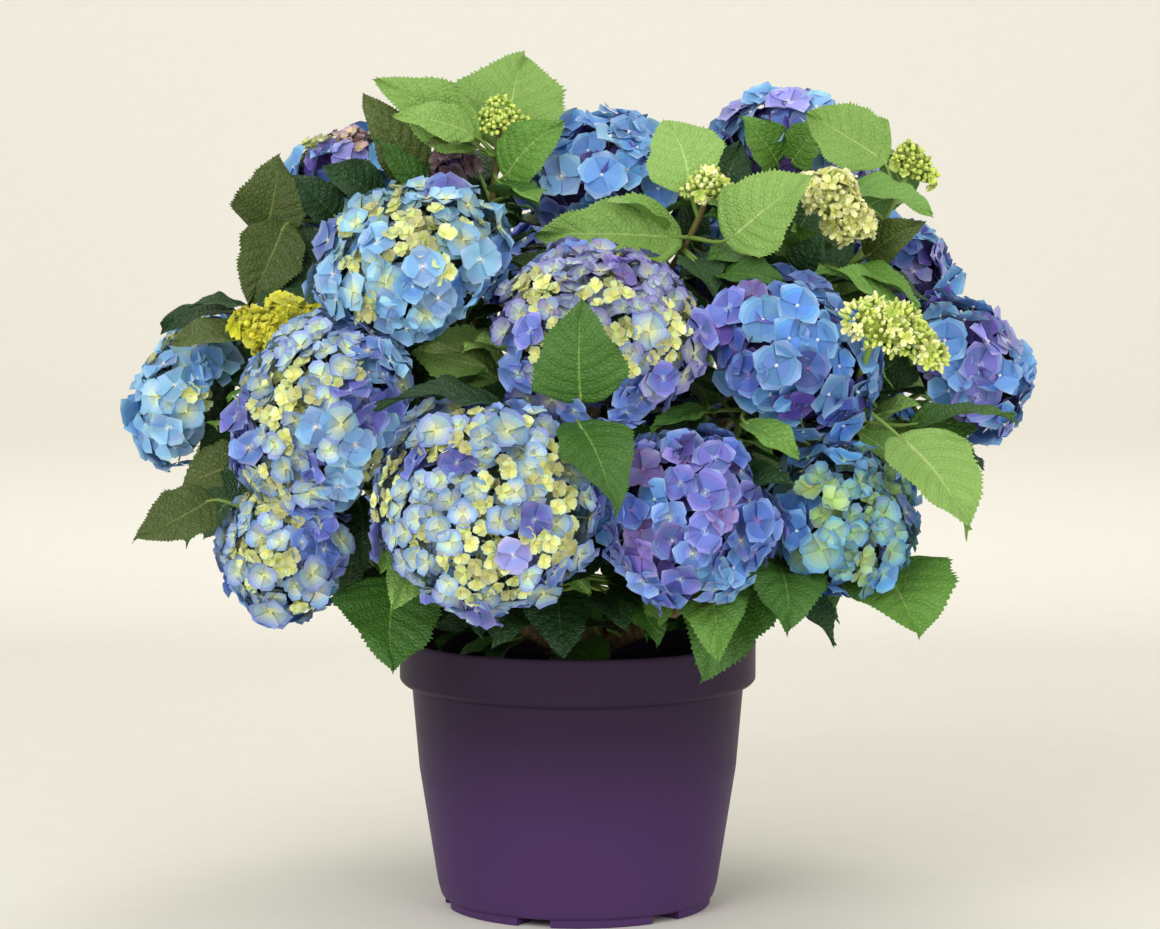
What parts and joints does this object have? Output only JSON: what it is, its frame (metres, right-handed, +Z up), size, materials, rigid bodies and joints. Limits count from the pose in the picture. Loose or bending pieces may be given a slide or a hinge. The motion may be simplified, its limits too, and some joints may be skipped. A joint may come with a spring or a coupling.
{
  "type": "potted hydrangea shrub",
  "caption": "Mophead hydrangea shrub in bloom, with blue and violet flower heads, green leaves and pale buds, standing in a round tapered plastic pot.",
  "frame": {"origin": "centre of the pot's flat underside", "axes": "+Z up, +Y to the back of the plant, +X to its right seen from the front"},
  "size_m": [0.5695, 0.4874, 0.55],
  "materials": {
    "pot_plastic": "dark purple moulded plastic with a soft sheen",
    "soil": "dark moist peat",
    "bark": "brown-green ridged bark",
    "blue_flowers": "soft matt petals, blue to violet with cream middles",
    "green_buds": "matt yellow-green young florets",
    "faded_flowers": "dull purple-brown dried florets",
    "leaves": "satin green leaves with paler veins"
  },
  "bodies": {
    "root": {"pot": "pot_plastic", "potting_soil": "soil", "woody_crown": "bark", "bough_front_left": "bark", "bough_front_right": "bark", "bough_front_middle": "bark", "bough_left": "bark", "bough_left_top": "bark", "bough_middle_top": "bark", "bough_right_top": "bark", "bough_right": "bark", "bough_back_left": "bark", "bough_back_right": "bark", "bough_back_middle": "bark", "flower_front_left": "blue_flowers", "flower_front_middle": "blue_flowers", "flower_front_right": "blue_flowers", "flower_low_left": "blue_flowers", "flower_left": "blue_flowers", "flower_far_left": "blue_flowers", "flower_upper_left": "blue_flowers", "flower_middle": "blue_flowers", "flower_right": "blue_flowers", "flower_far_right": "blue_flowers", "flower_upper_right": "blue_flowers", "flower_top": "blue_flowers", "flower_top_right": "blue_flowers", "flower_top_left": "blue_flowers", "flower_back_low_left": "blue_flowers", "flower_back_low_right": "blue_flowers", "flower_back_right": "blue_flowers", "flower_back_left": "blue_flowers", "flower_back_middle": "blue_flowers", "flower_back_upper_right": "blue_flowers", "flower_back_upper_left": "blue_flowers", "bud_top_left": "green_buds", "bud_top_middle": "green_buds", "bud_top_right": "green_buds", "bud_far_right": "green_buds", "bud_right": "green_buds", "bud_left": "green_buds", "faded_head_top_left": "faded_flowers", "leaves_middle": "leaves", "leaves_low_front": "leaves", "leaves_back": "leaves"}
  },
  "joints": []
}
